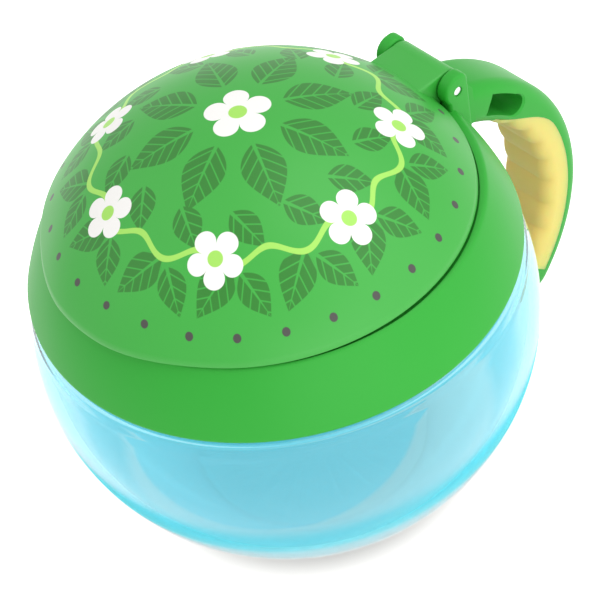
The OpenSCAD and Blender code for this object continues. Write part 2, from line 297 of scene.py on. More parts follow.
# %% Drawing a section
def primitive(kind, name, scale=(1, 1, 1), **how):
    """A new primitive whose place, turn and scale are applied."""
    bpy.ops.object.select_all(action="DESELECT")
    getattr(bpy.ops.mesh, f"primitive_{kind}_add")(**how)
    piece = bpy.context.object
    piece.name = piece.data.name = name
    piece.scale = scale
    bpy.ops.object.transform_apply(location=True, rotation=True, scale=True)
    return piece


def only(piece):
    """Makes this the one selected and active object."""
    bpy.ops.object.select_all(action="DESELECT")
    piece.select_set(True)
    bpy.context.view_layer.objects.active = piece


def edit(piece):
    """Opens this one object in edit mode."""
    only(piece)
    bpy.ops.object.mode_set(mode="EDIT")


def extrude(step):
    """Extrudes what is selected by a step in x, y and z."""
    bpy.ops.mesh.extrude_region_move(TRANSFORM_OT_translate={"value": step})


def pick(piece, kind, wanted):
    """In edit mode, selects the points, edges or faces that pass a test, and nothing else."""
    bpy.ops.mesh.select_mode(type=kind)
    bpy.ops.mesh.select_all(action="DESELECT")
    bm = bmesh.from_edit_mesh(piece.data)
    found = [e for e in {"VERT": bm.verts, "EDGE": bm.edges, "FACE": bm.faces}[kind] if wanted(e)]
    for element in found:
        element.select_set(True)
    if kind == "VERT":
        bm.select_flush(True)
    bmesh.update_edit_mesh(piece.data)
    return len(found)


def merge_points(reach=0.001 * mm):
    """In edit mode, joins points that are nearer than reach."""
    bpy.ops.mesh.select_all(action="SELECT")
    bpy.ops.mesh.remove_doubles(threshold=reach)


def close_up():
    """Turns all faces outwards and leaves edit mode."""
    bpy.ops.mesh.select_all(action="SELECT")
    bpy.ops.mesh.normals_make_consistent(inside=False)
    bpy.ops.object.mode_set(mode="OBJECT")


def draw(name, start, moves, offset=0.0, side=False):
    """Draws a chain in the x-z plane, or in the y-z plane with side, at an offset from the axis.
    A move is a point (across, up), or (across, up, degrees, steps) for an arc about that point."""
    def put(across, up):
        return (offset, across, up) if side else (across, offset, up)

    piece = primitive("plane", name, size=mm)
    edit(piece)
    bpy.ops.mesh.select_mode(type="VERT")
    bpy.ops.mesh.merge(type="CENTER")
    bpy.ops.transform.translate(value=put(*start))
    now = Vector(start)
    for move in moves:
        if len(move) == 2:
            there = Vector(move)
            extrude(Vector(put(*there)) - Vector(put(*now)))
        else:
            centre, turn = Vector(move[:2]), math.radians(move[2])
            bpy.ops.mesh.spin(steps=move[3], angle=turn, center=put(*centre),
                              axis=(-1, 0, 0) if side else (0, 1, 0))
            arm = now - centre
            there = centre + Vector((arm.x * math.cos(turn) - arm.y * math.sin(turn),
                                     arm.x * math.sin(turn) + arm.y * math.cos(turn)))
        now = there
    merge_points()
    return piece


def round_corners(piece, *corners, offset=0.0):
    """Rounds drawn corners, each given as (across, up, radius) or (across, up, radius, steps)."""
    for across, up, radius, *steps in corners:
        place = Vector((across, offset, up))
        if pick(piece, "VERT", lambda point: (point.co - place).length < 0.02 * mm) != 1:
            raise ValueError(f"{piece.name}: no single corner at {place / mm}")
        bpy.ops.mesh.bevel(offset=radius, segments=steps[0] if steps else 4, affect="VERTICES")

# %% Spinning and finishing
def spin_up(piece, steps=160, centre=(0, 0, 0)):
    """Spins the drawn section about the upright axis through centre, and leaves edit mode."""
    bpy.ops.mesh.select_all(action="SELECT")
    bpy.ops.mesh.spin(steps=steps, angle=2 * math.pi, center=centre, axis=(0, 0, 1))
    merge_points()
    close_up()


def finish_piece(piece, body, material, nodes=(), smooth=35):
    """Puts a finished mesh at the origin, smooths it, paints it and hangs it on its body."""
    only(piece)
    bpy.ops.object.transform_apply(location=True, rotation=True, scale=True)
    bpy.ops.object.shade_smooth_by_angle(angle=math.radians(smooth))
    piece.data.materials.clear()
    piece.data.materials.append(material)
    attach(piece, body)
    if nodes:
        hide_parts(*nodes)
    triangles = sum(len(p.vertices) - 2 for p in piece.data.polygons)
    print(f"{piece.name}: {triangles} triangles")
    return piece


def apply_all(piece):
    """Applies every modifier of a piece."""
    only(piece)
    for modifier in list(piece.modifiers):
        bpy.ops.object.modifier_apply(modifier=modifier.name)


def cut(piece, tool, operation="DIFFERENCE"):
    """Boolean with a tool piece, which is used up."""
    only(piece)
    boolean = piece.modifiers.new("cut", "BOOLEAN")
    boolean.operation = operation
    boolean.solver = "EXACT"
    boolean.object = tool
    bpy.ops.object.modifier_apply(modifier=boolean.name)
    bpy.data.objects.remove(tool)


def weld(piece):
    """Joins points that a grazing cut left a hair apart, so that the skin stays closed."""
    edit(piece)
    merge_points(0.002 * mm)
    bpy.ops.object.mode_set(mode="OBJECT")


def soften(piece, width, segments=3, angle=40):
    """Rounds every edge sharper than angle."""
    bevel = piece.modifiers.new("soften", "BEVEL")
    bevel.width = width
    bevel.segments = segments
    bevel.limit_method = "ANGLE"
    bevel.angle_limit = math.radians(angle)
    bevel.use_clamp_overlap = True
    apply_all(piece)

# %% [markdown]
# ## Materials: what moulded plastic looks like
#
# Moulded plastic is never perfectly even. Its gloss varies a little, its surface keeps the faint
# orange-peel of the mould, and the colour drifts slightly where the wall is thicker. One node
# group holds these three effects, and each plastic uses it with its own amounts.

# %% Short forms for shader nodes
def new_group(name, inputs, outputs):
    """An empty node group, what comes into it, and what it gives back."""
    group = bpy.data.node_groups.new(name, "ShaderNodeTree")
    for title, kind, value in inputs:
        socket = group.interface.new_socket(title, in_out="INPUT", socket_type=f"NodeSocket{kind}")
        if value is not None:
            socket.default_value = value
    for title, kind in outputs:
        group.interface.new_socket(title, in_out="OUTPUT", socket_type=f"NodeSocket{kind}")
    return group, group.nodes.new("NodeGroupInput").outputs, group.nodes.new("NodeGroupOutput").inputs


def use_group(tree, group, **values):
    """Places a group in a tree and gives its outputs."""
    node = new_node(tree, "Group")
    node.node_tree = group
    for title, value in values.items():
        feed(tree, node.inputs[title], value)
    return node.outputs


def srgb(red, green, blue):
    """A colour as a designer writes it, 0 to 255, turned into Blender's linear values."""
    def linear(value):
        share = value / 255
        return share / 12.92 if share <= 0.04045 else ((share + 0.055) / 1.055) ** 2.4
    return (linear(red), linear(green), linear(blue), 1)

# %% The moulded-skin group
skin, skin_in, skin_out = new_group(
    "moulded_skin",
    [("Colour", "Color", (0.5, 0.5, 0.5, 1)), ("Drift", "Float", 0.03), ("Roughness", "Float", 0.4),
     ("Peel", "Float", 0.05)],
    [("Colour", "Color"), ("Roughness", "Float"), ("Height", "Float")])
calc = calculator(skin)
place = on_object(skin)


def noise(scale, detail):
    """Soft noise with so many waves to a metre."""
    return new_node(skin, "TexNoise", Scale=scale, Detail=detail, Vector=place).outputs["Fac"]


cloud, peel = noise(45, 2), noise(1400, 3)
uneven = calc("SUBTRACT", cloud, 0.5)
drift = calc("MULTIPLY_ADD", uneven, skin_in["Drift"], 1.0)
tint = new_node(skin, "VectorMath")
tint.operation = "SCALE"
link(skin, skin_in["Colour"], tint.inputs[0])
link(skin, drift, tint.inputs["Scale"])
link(skin, tint.outputs[0], skin_out["Colour"])
link(skin, calc("MULTIPLY_ADD", uneven, 0.12, skin_in["Roughness"]), skin_out["Roughness"])
link(skin, calc("MULTIPLY", peel, skin_in["Peel"]), skin_out["Height"])
print("group", skin.name)

# %% Plain plastics
def wear_skin(tree, shader, colour, roughness, drift=0.06, peel=0.05):
    """Feeds a shader from the skin group. A colour is a constant or a node's output."""
    worn = use_group(tree, skin, Colour=colour, Drift=drift, Roughness=roughness, Peel=peel)
    relief = new_node(tree, "Bump", Distance=0.06 * mm, Height=worn["Height"])
    for title, source in (("Base Color", worn["Colour"]), ("Roughness", worn["Roughness"]),
                          ("Normal", relief.outputs["Normal"])):
        link(tree, source, shader.inputs[title])


def plastic(name, colour, roughness, peel=0.05, **fixed):
    """A moulded plastic: the skin group feeds the shader, and what is constant sits on its sockets."""
    material, tree, shader = new_material(name)
    wear_skin(tree, shader, colour, roughness, peel=peel)
    shader.inputs["Specular IOR Level"].default_value = 0.22
    for title, value in fixed.items():
        shader.inputs[title.replace("_", " ")].default_value = value
    return material


leaf_green = plastic("leaf_green_plastic", srgb(52, 171, 58), 0.42)
soft_yellow = plastic("soft_yellow_grip", srgb(252, 224, 130), 0.62, peel=0.5, Subsurface_Weight=0.6,
                      Subsurface_Scale=0.006)
petal_cream = plastic("cream_petal_rubber", srgb(245, 240, 218), 0.55, peel=0.3)
steel = plastic("steel_pin", (0.72, 0.72, 0.74, 1), 0.28, Metallic=1.0)
print("materials", leaf_green.name, soft_yellow.name, petal_cream.name, steel.name)

# %% [markdown]
# ## See-through blue
#
# The bowl is tinted so lightly that one wall is almost colourless: the blue comes from looking
# through two walls. Light for the table passes it too. A path tracer only finds such light by
# chance, so a shadow ray gets a plain tinted pass through each face, and all other rays meet the
# real glass-like plastic.

# %% Clear blue plastic
# Painted shade: the Foot tint is deeper than the Wall tint, so the bowl looks darker towards its base.
depth, depth_in, depth_out = new_group(
    "tint_by_height",
    [("Foot", "Color", (0.62, 0.88, 0.93, 1)), ("Wall", "Color", (0.88, 0.92, 0.95, 1)),
     ("Low", "Float", 0.0), ("High", "Float", 0.026)],
    [("Colour", "Color")])
rise = soft_step(depth, axes_of(depth)["Z"], depth_in["Low"], depth_in["High"])
tinted = mix_colour(depth, rise, depth_in["Foot"], depth_in["Wall"])
link(depth, tinted, depth_out["Colour"])
clear_blue, tree, shader = new_material("clear_blue_bowl")
calc = calculator(tree)
link(tree, use_group(tree, depth)["Colour"], shader.inputs["Base Color"])
for title, value in (("Roughness", 0.02), ("IOR", 1.40), ("Transmission Weight", 0.95)):
    shader.inputs[title].default_value = value
passing = new_node(tree, "BsdfTransparent", Color=(0.80, 0.80, 0.80, 1))
choose = new_node(tree, "MixShader")
path = new_node(tree, "LightPath").outputs
lamp_light = calc("MAXIMUM", path["Is Shadow Ray"], path["Is Diffuse Ray"])
for place, source in enumerate((lamp_light, shader.outputs[0], passing.outputs[0])):
    link(tree, source, choose.inputs[place])
link(tree, choose.outputs[0], tree.nodes["Material Output"].inputs["Surface"])
red, green, blue = 180, 31, 13   # share lost per metre of plastic
inside = new_node(tree, "VolumeAbsorption", Color=(0, 1 - green / red, 1 - blue / red, 1),
                  Density=calc("MULTIPLY", calc("SUBTRACT", 1.0, lamp_light), red))
link(tree, inside.outputs[0], tree.nodes["Material Output"].inputs["Volume"])
print("group", depth.name)

# %% [markdown]
# ## The lid's print
#
# The lid is printed all round with a wreath: dark green leaves with light veins, a lime stem that
# waves between them, white blossoms and small charcoal berries. A print follows the dome, so the
# pattern is drawn in dome coordinates: the distance from the top, measured along the surface, and
# the angle. A ring of equal motifs then needs only one motif, because the angle is folded into
# one sector. Each step is a small group, so that a ring can be used again with other numbers.
# Only the outside is printed: below the dome's skin the distance jumps beyond every ring.

# %% Dome coordinates
lid_wall = 1.8 * mm
dome_h = lid_top - lid_z
dome_foot = rim_r + 0.55 * mm
dome_r = (dome_foot ** 2 + dome_h ** 2) / (2 * dome_h)
dome_z = lid_top - dome_r
along, _, along_out = new_group("along_the_dome", [], [("Distance", "Float"), ("Angle", "Float")])
calc = calculator(along)


def length_of(calc, first, second):
    """Length of the long side over two sides at a right angle."""
    return calc("SQRT", calc("ADD", calc("MULTIPLY", first, first), calc("MULTIPLY", second, second)))


at = axes_of(along)
x, y = at["X"], calc("ADD", at["Y"], lid_shift)
plan_r = length_of(calc, x, y)
lean = calc("ARCSINE", calc("MINIMUM", calc("DIVIDE", plan_r, dome_r), 0.999))
from_centre = length_of(calc, plan_r, calc("SUBTRACT", at["Z"], dome_z))
under_skin = calc("LESS_THAN", from_centre, dome_r - lid_wall / 2)
link(along, calc("MULTIPLY_ADD", under_skin, 1000, calc("MULTIPLY", lean, dome_r / mm)),
     along_out["Distance"])
link(along, calc("ARCTAN2", y, x), along_out["Angle"])
print("dome radius", round(dome_r / mm, 2))

# %% One sector of a ring
# u runs outwards and v sideways, in millimetres from the ring's own line; a tilt turns them.
ring, ring_in, ring_out = new_group(
    "ring_sector",
    [("Distance", "Float", 0), ("Angle", "Float", 0), ("Count", "Float", 8), ("Ring", "Float", 20),
     ("Phase", "Float", 0), ("Tilt", "Float", 0)],
    [("U", "Float"), ("V", "Float"), ("Number", "Float")])
calc = calculator(ring)
sector = calc("DIVIDE", 2 * math.pi, ring_in["Count"])
turned = calc("SUBTRACT", ring_in["Angle"], calc("MULTIPLY", ring_in["Phase"], sector))
number = calc("ROUND", calc("DIVIDE", turned, sector))
local = calc("SUBTRACT", turned, calc("MULTIPLY", number, sector))
out = calc("SUBTRACT", calc("MULTIPLY", ring_in["Distance"], calc("COSINE", local)),
           ring_in["Ring"])
side = calc("MULTIPLY", ring_in["Distance"], calc("SINE", local))
cos_t, sin_t = calc("COSINE", ring_in["Tilt"]), calc("SINE", ring_in["Tilt"])
link(ring, calc("ADD", calc("MULTIPLY", out, cos_t), calc("MULTIPLY", side, sin_t)), ring_out["U"])
link(ring, calc("SUBTRACT", calc("MULTIPLY", side, cos_t), calc("MULTIPLY", out, sin_t)), ring_out["V"])
link(ring, calc("FLOORED_MODULO", calc("ADD", number, 0.01), ring_in["Count"]), ring_out["Number"])
print("group", ring.name)

# %% Motifs: a leaf and a blossom
def mask_below(calc, value, limit, width=0.12):
    """1 where the value is below the limit, with an edge as crisp as a print's."""
    share = calc("ADD", calc("DIVIDE", calc("SUBTRACT", limit, value), width), 0.5)
    return calc("MINIMUM", calc("MAXIMUM", share, 0), 1)


leaf, leaf_in, leaf_out = new_group(
    "leaf_motif",
    [("U", "Float", 0), ("V", "Float", 0), ("Length", "Float", 12), ("Width", "Float", 6)],
    [("Leaf", "Float")])
calc = calculator(leaf)
t = calc("DIVIDE", leaf_in["U"], calc("MULTIPLY", leaf_in["Length"], 0.5))
belly = calc("MAXIMUM", calc("SUBTRACT", 1, calc("MULTIPLY", t, t)), -0.2)
taper = calc("MAXIMUM", calc("SUBTRACT", 1, calc("MULTIPLY", t, 0.4)), 0.1)
outline = calc("MULTIPLY", calc("MULTIPLY", belly, taper), calc("MULTIPLY", leaf_in["Width"], 0.5))
across = calc("ABSOLUTE", leaf_in["V"])
blade = mask_below(calc, across, outline)
midrib = mask_below(calc, calc("MULTIPLY", calc("SUBTRACT", 1.1, t), 0.17), across)
wave = calc("FRACT", calc("DIVIDE", calc("SUBTRACT", leaf_in["U"], across), 2.3))
veins = mask_below(calc, 0.07, calc("ABSOLUTE", calc("SUBTRACT", wave, 0.5)), 0.08)
link(leaf, calc("MULTIPLY", calc("MULTIPLY", blade, midrib), veins), leaf_out["Leaf"])

blossom, blossom_in, blossom_out = new_group(
    "blossom_motif", [("U", "Float", 0), ("V", "Float", 0), ("Radius", "Float", 4)],
    [("Petals", "Float"), ("Heart", "Float")])
calc = calculator(blossom)
u, v = blossom_in["U"], blossom_in["V"]
reach = length_of(calc, u, v)
lobes = calc("POWER", calc("ABSOLUTE", calc("COSINE", calc("MULTIPLY", calc("ARCTAN2", v, u), 2.5))), 0.45)
petal_edge = calc("MULTIPLY", blossom_in["Radius"], calc("MULTIPLY_ADD", lobes, 0.55, 0.45))
link(blossom, mask_below(calc, reach, petal_edge), blossom_out["Petals"])
link(blossom, mask_below(calc, reach, calc("MULTIPLY", blossom_in["Radius"], 0.27)), blossom_out["Heart"])
print("motifs", leaf.name, blossom.name)

# %% The printed lid material
leaf_dark = srgb(40, 128, 36)
lime = srgb(166, 228, 98)
print_white = srgb(250, 249, 247)
charcoal = srgb(70, 70, 66)
lid_green = srgb(58, 173, 62)

leafy, tree, shader = new_material("printed_lid_plastic")
calc = calculator(tree)
dome = use_group(tree, along)


def ring_of(count, ring_at, phase=0.0, tilt=0.0):
    return use_group(tree, ring, Distance=dome["Distance"], Angle=dome["Angle"],
                     Count=count, Ring=ring_at, Phase=phase, Tilt=math.radians(tilt))


def leaves(count, ring_at, length, width, phase=0.0, tilt=0.0):
    """A ring of leaves: the mask of their dark parts."""
    where = ring_of(count, ring_at, phase, tilt)
    return use_group(tree, leaf, U=where["U"], V=where["V"], Length=length, Width=width)["Leaf"]


def blossoms(count, ring_at, radius, phase=0.0):
    where = ring_of(count, ring_at, phase)
    return use_group(tree, blossom, U=where["U"], V=where["V"], Radius=radius)


leaf_rings = [leaves(8, 14.5, 13, 7.4, 0.5), leaves(14, 23.5, 8.5, 5.2, 0.5, 38),
              leaves(14, 33.5, 11, 6.4, 0.0, -34), leaves(14, 34.5, 9, 5.4, 0.5, 30)]
dark = leaf_rings[0]
for more in leaf_rings[1:]:
    dark = calc("MAXIMUM", dark, more)
ripple = calc("MULTIPLY", calc("SINE", calc("MULTIPLY", dome["Angle"], 14)), 1.3)
from_stem = calc("ABSOLUTE", calc("SUBTRACT", calc("SUBTRACT", dome["Distance"], 28.2), ripple))
stem = mask_below(calc, from_stem, 0.55)
crown = blossoms(1, 0.0, 6.0)
wreath = blossoms(7, 28.2, 5.2, 0.0)
buds = ring_of(28, 41.3, 0.5)
bud = mask_below(calc, length_of(calc, buds["U"], buds["V"]), 0.8)
at = axes_of(tree)
beside_arm = calc("LESS_THAN", calc("ABSOLUTE", at["X"]), 6.3 * mm)
behind_arm = calc("GREATER_THAN", at["Y"], pin.y - 8.1 * mm)
on_dome = calc("SUBTRACT", 1, calc("MULTIPLY", beside_arm, behind_arm))
dark = calc("MULTIPLY", dark, on_dome)
colour = mix_colour(tree, dark, lid_green, leaf_dark)
colour = mix_colour(tree, stem, colour, lime)
colour = mix_colour(tree, calc("MULTIPLY", bud, on_dome), colour, charcoal)
for flower in (crown, wreath):
    colour = mix_colour(tree, flower["Petals"], colour, print_white)
    colour = mix_colour(tree, flower["Heart"], colour, lime)
wear_skin(tree, shader, colour, 0.42, drift=0.05)
print("print nodes", len(tree.nodes))

# %% [markdown]
# ## The bowl
#
# The bowl is blown or moulded in clear blue plastic, with a wall of about two millimetres. The
# light bends once on each face, so the inner face has to be there too. The section is drawn as one
# closed chain: base, side arc, shoulder, neck, and back down the inside. A fine bead runs round
# below the collar, and three raised threads climb the neck.

# %% Bowl
def on_side(z, set_in=0.0):
    """Radius of the bowl's side at a height, or of its inside with set_in as the wall."""
    return side_x + math.sqrt((side_arc - set_in) ** 2 - (z - belly_z) ** 2)


def lean_of(z, set_in=0.0):
    """Direction of a point on the side's arc, seen from the arc's centre, in degrees."""
    return math.degrees(math.atan2(z - belly_z, on_side(z, set_in) - side_x))


inner_z = shoulder_z - wall
bead_z = shoulder_z - 3 * mm
bead_half = 0.6 * mm
bead_rise = 0.1 * mm
base_r = on_side(0)
section = [
    (base_r, 0),
    (side_x, belly_z, lean_of(bead_z - bead_half) - lean_of(0), 40),
    (on_side(bead_z) + bead_rise, bead_z),
    (on_side(bead_z + bead_half), bead_z + bead_half),
    (side_x, belly_z, lean_of(shoulder_z) - lean_of(bead_z + bead_half), 3),
    (neck_r, shoulder_z),
    (neck_r, neck_top),
    (neck_r - wall, neck_top),
    (neck_r - wall, inner_z),
    (on_side(inner_z, wall), inner_z),
    (side_x, belly_z, lean_of(floor_t, wall) - lean_of(inner_z, wall), 40),
    (0, floor_t),
]
bowl = draw("bowl_body", (0, 0), section)
round_corners(
    bowl, (base_r, 0, 1.6 * mm), (on_side(bead_z) + bead_rise, bead_z, 0.4 * mm),
    (shoulder_r, shoulder_z, 0.6 * mm), (neck_r, neck_top, 0.5 * mm), (neck_r - wall, neck_top, 0.5 * mm),
    (neck_r - wall, inner_z, mm), (on_side(inner_z, wall), inner_z, 4.5 * mm, 6),
    (on_side(floor_t, wall), floor_t, 5 * mm, 6))
spin_up(bowl, 192)
print("bowl turned, base radius", round(base_r / mm, 2))

# %% Threads
def thread(name, root_at, tip_at, low, begin, sweep, foot, tip):
    """A raised thread of trapezoid section: a small face set on edge, narrowed at its tip, then
    turned and lifted by a Screw modifier."""
    piece = primitive("plane", name, (abs(tip_at - root_at), foot, 1), size=1,
                      location=((root_at + tip_at) / 2, 0, low), rotation=(math.pi / 2, 0, 0))
    edit(piece)
    pick(piece, "VERT", lambda point: abs(point.co.x - tip_at) < 0.01 * mm)
    bpy.ops.transform.resize(value=(1, 1, tip / foot), center_override=(tip_at, 0, low))
    bpy.ops.mesh.select_all(action="SELECT")
    bpy.ops.transform.rotate(value=-math.radians(begin), orient_axis="Z", center_override=(0, 0, 0))
    bpy.ops.object.mode_set(mode="OBJECT")
    climb = piece.modifiers.new("climb", "SCREW")
    climb.angle = math.radians(sweep)
    climb.screw_offset = lead * sweep / 360
    climb.steps = climb.render_steps = max(8, round(sweep / 3))
    apply_all(piece)
    edit(piece)
    merge_points()
    bpy.ops.mesh.select_all(action="DESELECT")
    bpy.ops.mesh.select_non_manifold()
    bpy.ops.mesh.edge_face_add()
    close_up()
    return piece


lead = 12 * mm
ridge_low, ridge_sweep, ridge_foot = shoulder_z + 1.5 * mm, 169.5, 1.5 * mm
for start in (0, 120, 240):
    cut(bowl, thread("thread", neck_r - 0.5 * mm, neck_r + mm, ridge_low, start, ridge_sweep, ridge_foot,
                     0.85 * mm), "UNION")
finish_piece(bowl, "bowl", clear_blue, ["bowl"])

# %% [markdown]
# ## The collar
#
# The collar is a thick green ring with a slightly crowned side. It is turned like the bowl. A low
# bead runs round its mouth, a little forward of the middle, and locates the lid. Both are one
# moulding, so they are joined into one skin.

# %% Collar ring
collar_arc = 61.4 * mm
collar_in = bore_r + 1.35 * mm
run, rise = collar_r - collar_in, web_z - collar_z
chord = math.hypot(run, rise)
sag = math.sqrt(collar_arc ** 2 - (chord / 2) ** 2)
crown_x = (collar_r + collar_in) / 2 - sag * rise / chord
crown_z = (collar_z + web_z) / 2 - sag * run / chord
collar_hi = crown_x + math.sqrt(collar_arc ** 2 - (collar_top - crown_z) ** 2)
crown_turn = math.degrees(math.atan2(collar_top - crown_z, collar_hi - crown_x)
                          - math.atan2(collar_z - crown_z, collar_r - crown_x))
collar = draw("collar_ring", (bore_r, collar_z), [
    (collar_r, collar_z), (crown_x, crown_z, crown_turn, 14), (mouth_r, collar_top),
    (mouth_r, web_z), (bore_r, web_z), (bore_r, collar_z)])
round_corners(
    collar, (collar_r, collar_z, 0.7 * mm), (collar_hi, collar_top, 0.5 * mm),
    (mouth_r, collar_top, 0.4 * mm), (mouth_r, web_z, 0.4 * mm), (bore_r, web_z, 0.5 * mm),
    (bore_r, collar_z, 0.4 * mm))
spin_up(collar, 192)
print("collar's top radius", round(collar_hi / mm, 2))

# %% Bead around the mouth
bead_w, bead_h = 1.6 * mm, 1.4 * mm
bead_in = bead_out - bead_w
bead = draw("mouth_bead", (bead_in, collar_top - mm), [
    (bead_out, collar_top - mm), (bead_out, collar_top + bead_h), (bead_in, collar_top + bead_h),
    (bead_in, collar_top - mm)], offset=-lid_shift)
round_corners(bead, (bead_out, collar_top + bead_h, 0.5 * mm), (bead_in, collar_top + bead_h, 0.5 * mm),
              offset=-lid_shift)
spin_up(bead, 192, (0, -lid_shift, 0))
cut(collar, bead, "UNION")
print("bead from", round(bead_in / mm, 2), "to", round(bead_out / mm, 2))

# %% Gap under the lid's rim
gap_out, gap_in = rim_r + 0.25 * mm, rim_r - 1.3 * mm
gap_low, gap_high = collar_top - 0.9 * mm, collar_top + mm
gap = draw("rim_gap", (gap_in, gap_low), [
    (gap_out, gap_low), (gap_out, gap_high), (gap_in, gap_high), (gap_in, gap_low)], offset=-lid_shift)
spin_up(gap, 192, (0, -lid_shift, 0))
cut(gap, primitive("cylinder", "limit", vertices=192, radius=collar_hi - 0.25 * mm, depth=4 * mm,
                   location=(0, 0, collar_top)), "INTERSECT")
cut(collar, gap)
weld(collar)
print("gap from", round(gap_in / mm, 2), "to", round(gap_out / mm, 2))

# %% [markdown]
# ## Slabs
#
# Ears, post, knuckle and the cutters for seams all have one side view and a plain width. Such a
# slab is drawn in side view, filled, and extruded across. Chosen edges are then bevelled.

# %% Slabs and chosen edges
def slab(name, start, moves, low_x, high_x):
    """A side view drawn in y and z, filled and extruded from low_x to high_x."""
    piece = draw(name, start, moves, low_x, side=True)
    bpy.ops.mesh.edge_face_add()
    extrude((high_x - low_x, 0, 0))
    close_up()
    return piece


def bevel_edges(piece, wanted, width, segments=6):
    """Bevels the edges whose middle and direction pass the test."""
    edit(piece)

    def passes(edge):
        first, second = edge.verts[0].co, edge.verts[1].co
        return wanted((first + second) / 2, (second - first).normalized())

    pick(piece, "EDGE", passes)
    bpy.ops.mesh.bevel(offset=width, segments=segments, affect="EDGES")
    bpy.ops.object.mode_set(mode="OBJECT")


def rod(name, radius, low_x, high_x, around=64):
    """A round bar on the hinge's axis."""
    return primitive("cylinder", name, vertices=around, radius=radius, depth=high_x - low_x,
                     location=((low_x + high_x) / 2, pin.y, pin.z), rotation=(0, math.pi / 2, 0))

# %% [markdown]
# ## Hinge ears and the post
#
# Two ears stand on the collar behind the lid and hold the pin. Each has a round head and a
# straight back, and its outer corners are soft, because small fingers pass there. Between the
# ears the post thickens the collar down to the root of the handle. A round recess in it gives
# the lid's knuckle room to turn, and the pin's holes go through both ears.

# %% Ears and post
ear_in, ear_out = 6.7 * mm, 9.4 * mm
ear_r = 3.2 * mm
head_y, head_z = pin.y + 0.25 * mm, pin.z + 0.1 * mm
ear_back = pin.y + 2.6 * mm
stem_y = head_y - ear_r + 0.7 * mm
ear_low = collar_z + 3 * mm
knuckle_r = 3.1 * mm
post_front = pin.y - mm
root_y = collar_r - 0.5 * mm
post_top = pin.z - 2 * mm
reach_down = math.degrees(math.acos((head_y - stem_y) / ear_r))
for side in (-1, 1):
    low_x, high_x = sorted((side * ear_in, side * ear_out))
    ear = slab("ear", (ear_back, ear_low), [
        (ear_back, head_z + ear_r), (head_y, head_z + ear_r), (head_y, head_z, 90 + reach_down, 24),
        (stem_y, ear_low), (ear_back, ear_low)], low_x, high_x)
    bevel_edges(ear, lambda at, way: abs(way.x) > 0.9 and at.z > head_z + 2 * mm
                and at.y > ear_back - 0.1 * mm, 1.8 * mm, 10)
    soften(ear, 0.6 * mm, 5, 50)
    cut(collar, ear, "UNION")
post = slab("post", (post_front, ear_low), [
    (root_y, ear_low + 1.2 * mm), (root_y, post_top - 1.9 * mm), (root_y - 1.4 * mm, post_top),
    (post_front, post_top), (post_front, ear_low)], -ear_in - 0.5 * mm, ear_in + 0.5 * mm)
bevel_edges(post, lambda at, way: abs(way.x) > 0.9 and at.y > root_y - 1.5 * mm
            and at.z > post_top - 2 * mm, 0.6 * mm, 4)
cut(collar, post, "UNION")
print("ears from", round(ear_in / mm, 2), "to", round(ear_out / mm, 2))

# %% Bore, recess for the knuckle and pin holes
cut(collar, primitive("cylinder", "bore", vertices=192, radius=bore_r, depth=web_z - collar_z + 2 * mm,
                      location=(0, 0, (web_z + collar_z - 2 * mm) / 2)))
room_r = knuckle_r + slack
recess = slab("recess", (pin.y - room_r, pin.z), [
    (pin.y, pin.z, 180, 32), (pin.y + room_r, pin.z + 8 * mm), (pin.y - room_r - 2 * mm, pin.z + 8 * mm),
    (pin.y - room_r - 2 * mm, pin.z), (pin.y - room_r, pin.z)], -ear_in, ear_in)
cut(collar, recess)
cut(collar, rod("pin_holes", pin_r, -2 * ear_out, 2 * ear_out))
lug_foot, lug_at, lug_sweep = 1.2 * mm, 45, 35
lug_low = ridge_low - (ridge_foot + lug_foot) / 2 - 0.3 * mm + lead * lug_at / 360
for start in (0, 120, 240):
    cut(collar, thread("lug", bore_r + 0.5 * mm, bore_r - mm, lug_low, start + lug_at, lug_sweep, lug_foot,
                       0.7 * mm), "UNION")
finish_piece(collar, "collar", leaf_green, ["collar"])

# %% [markdown]
# ## The handle and its soft grip
#
# The handle is one rounded bar bent to an arc. A green shell and a soft yellow grip share it: the
# grip is moulded over its inside, with ripples for the fingers. The bar is made once and split by
# a seam, so both halves meet without a gap. Its section is a plane with rounded corners. It is
# spun about the arc's hub, and the free end is rounded by extruding it in shrinking steps.

# %% The rounded bar
half_t, half_w = handle_t / 2, handle_w / 2
root_sweep, tail_sweep = 76.0, 43.5


def on_arc(angle, away=0.0):
    """Point (y, z) at an angle up the handle, and away from its centre line."""
    turn = math.radians(angle)
    return (hub.y + (handle_arc + away) * math.cos(turn), hub.z + (handle_arc + away) * math.sin(turn))


